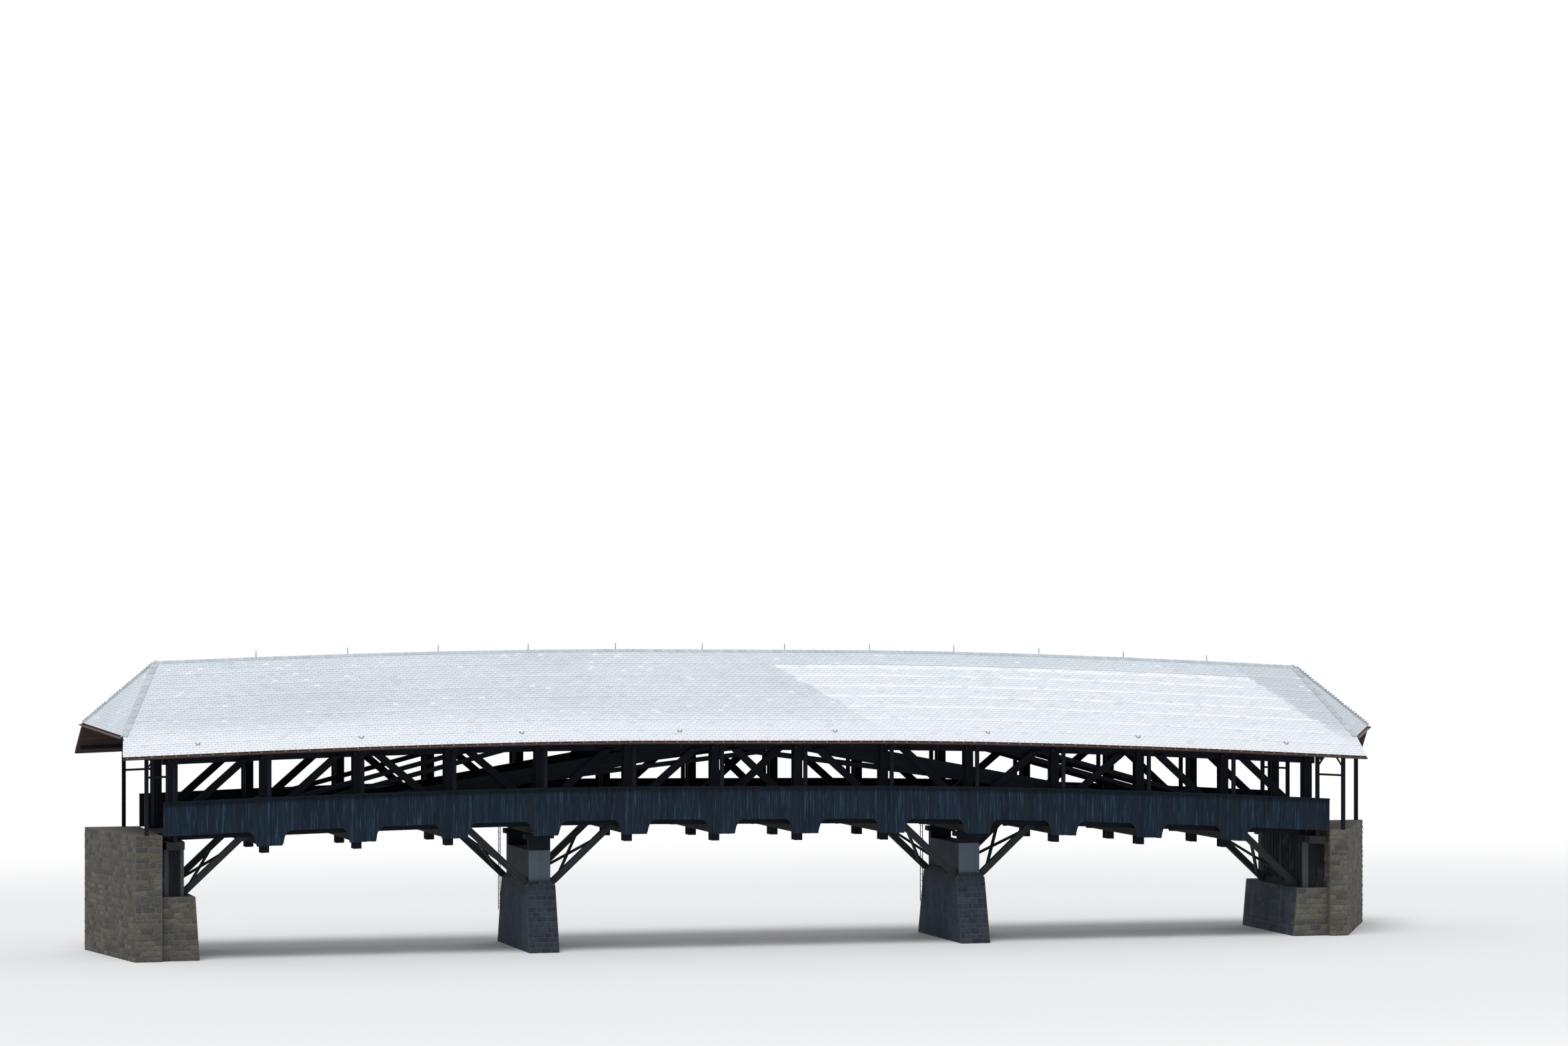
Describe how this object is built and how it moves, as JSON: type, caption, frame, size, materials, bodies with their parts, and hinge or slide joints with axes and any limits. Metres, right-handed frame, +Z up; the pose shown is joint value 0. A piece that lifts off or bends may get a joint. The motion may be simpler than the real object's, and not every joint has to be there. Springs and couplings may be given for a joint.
{
  "type": "covered bridge",
  "caption": "Covered timber road bridge with slated roof, polygonal arch trusses, boarded sides, raking struts and masonry piers; half-size scale model",
  "frame": {"origin": "middle of the length and width, on the ground plane under the piers and abutments", "axes": "+X along the bridge towards its skewed end, -Y towards the side seen in the picture, +Z up"},
  "size_m": [32.8996, 4.6274, 7.3212],
  "materials": {
    "masonry": "coursed weathered stone",
    "pier_concrete": "smooth weathered concrete",
    "weathered_boards": "weathered upright boards",
    "roof_slates": "pale rectangular slates on boarding",
    "ridge_metal": "folded sheet",
    "gutter_metal": "brown-red sheet",
    "steel": "galvanised",
    "floor_timber": "sawn and weathered",
    "strut_timber": "sawn and weathered",
    "truss_timber": "hewn and darkened"
  },
  "bodies": {
    "root": {"piers": "masonry", "pier_caps": "pier_concrete", "bearing_blocks": "strut_timber", "abutments": "masonry", "housings": "weathered_boards", "near_bottom_chord": "truss_timber", "far_bottom_chord": "truss_timber", "near_top_chord": "truss_timber", "far_top_chord": "truss_timber", "near_posts": "truss_timber", "far_posts": "truss_timber", "near_braces": "truss_timber", "far_braces": "truss_timber", "near_arch": "truss_timber", "far_arch": "truss_timber", "near_slim_arch": "truss_timber", "far_slim_arch": "truss_timber", "cross_beams": "floor_timber", "stringers": "floor_timber", "deck": "floor_timber", "near_skirt": "weathered_boards", "far_skirt": "weathered_boards", "skirt_rails": "floor_timber", "outer_posts": "truss_timber", "tie_beams": "truss_timber", "eave_plates": "truss_timber", "rafters": "truss_timber", "ridge_beam": "truss_timber", "near_roof": "roof_slates", "far_roof": "roof_slates", "hips": "roof_slates", "ridge_cap": "ridge_metal", "eave_gutters": "gutter_metal", "hip_gutters": "gutter_metal", "ridge_rods": "steel", "struts": "strut_timber", "strut_feet": "strut_timber", "strut_bracing": "strut_timber", "strut_heads": "strut_timber", "end_posts": "truss_timber", "end_ties": "truss_timber", "end_bars": "truss_timber", "knees": "truss_timber", "hip_beams": "truss_timber", "ladders": "steel"}
  },
  "joints": []
}
